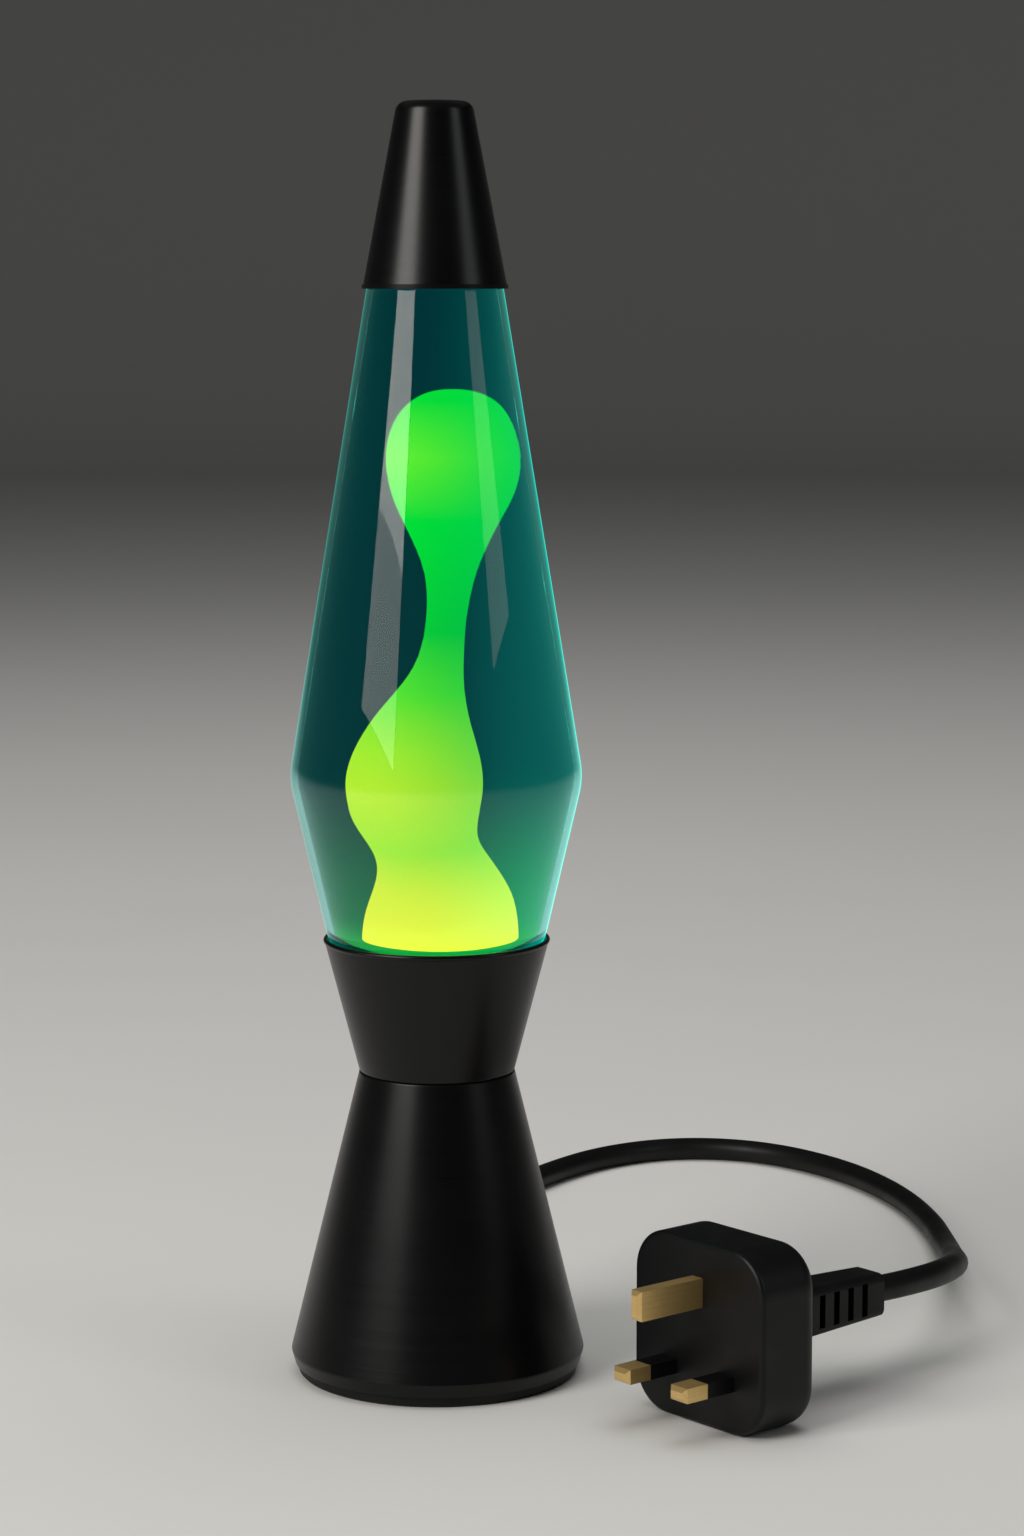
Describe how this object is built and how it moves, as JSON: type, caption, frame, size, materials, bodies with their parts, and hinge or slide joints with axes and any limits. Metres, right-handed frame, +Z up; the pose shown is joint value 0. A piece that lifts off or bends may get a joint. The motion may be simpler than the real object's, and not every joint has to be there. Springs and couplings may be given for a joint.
{
  "type": "lava lamp",
  "caption": "Rocket-shaped lava lamp with a black two-cone base, teal liquid bottle, yellow-green wax column, black cap, cord and flat-pin plug.",
  "frame": {"origin": "centre of the foot ring's underside, on the lamp's upright axis, at the surface it stands on", "axes": "+Z up along the lamp's axis; -Y towards the viewer, so the cord leaves the base towards +Y; +X to the viewer's right, where the plug lies"},
  "size_m": [0.1998, 0.3282, 0.35],
  "materials": {
    "black_aluminium": "satin black lacquer on spun aluminium",
    "steel": "zinc plated",
    "brass": "satin",
    "black_rubber": "matt",
    "black_plastic": "fine moulded grain",
    "phenolic": "moulded, semi-gloss",
    "clear_glass": "smooth, clear",
    "bulb_glass": "smooth, silvered inside the cone",
    "teal_liquid": "clear tinted liquid",
    "wax": "warm translucent wax, glowing",
    "white_liner": "soft liner",
    "tungsten": "bare wire",
    "brown_core": "insulation",
    "blue_core": "insulation",
    "green_core": "green and yellow insulation",
    "ceramic": "fuse body"
  },
  "bodies": {
    "base": {"base_cone": "black_aluminium", "collar_cup": "black_aluminium", "waist_rivets": "steel", "lampholder_bracket": "steel", "bottle_seat": "black_rubber", "base_plate": "black_plastic", "foot_ring": "black_rubber", "plate_screws": "steel", "lampholder_body": "phenolic", "terminal_screws": "brass", "lampholder_shell": "brass", "centre_contact": "brass", "holder_nipple": "steel", "nipple_nuts": "steel", "cord_grommet": "black_rubber", "cord_grip": "black_plastic", "grip_clamp": "black_plastic", "grip_screws": "steel", "inner_cord": "black_rubber", "live_lead": "brown_core", "neutral_lead": "blue_core", "earth_lead": "green_core", "earth_tag": "brass", "earth_screw": "brass", "cord": "black_rubber", "plug_shell": "black_plastic", "plug_insert": "black_plastic", "earth_pin": "brass", "live_pin": "brass", "neutral_pin": "brass", "live_sleeve": "black_plastic", "neutral_sleeve": "black_plastic", "fuse": "ceramic", "fuse_clips": "brass", "plug_relief": "black_rubber"},
    "bottle": {"glass_bottle": "clear_glass", "coloured_liquid": "teal_liquid", "wax_column": "wax", "heat_coil": "steel", "crown_cap": "steel", "cap_liner": "white_liner"},
    "top_cap": {"top_cap": "black_aluminium"},
    "bulb": {"bulb_glass": "bulb_glass", "bulb_cap": "brass", "bulb_insulator": "phenolic", "bulb_contact": "steel", "filament_mount": "bulb_glass", "filament": "tungsten"}
  },
  "joints": [
    {"name": "bottle_lift", "type": "slide", "parent": "base", "child": "bottle", "axis": [0, 0, 1], "range_m": [0, 0.12]},
    {"name": "cap_lift", "type": "slide", "parent": "bottle", "child": "top_cap", "axis": [0, 0, 1], "range_m": [0, 0.06]},
    {"name": "bulb_turn", "type": "hinge", "parent": "base", "child": "bulb", "pos_m": [0, 0, 0.069], "axis": [0, 0, 1], "range_deg": [0, 1260]}
  ]
}
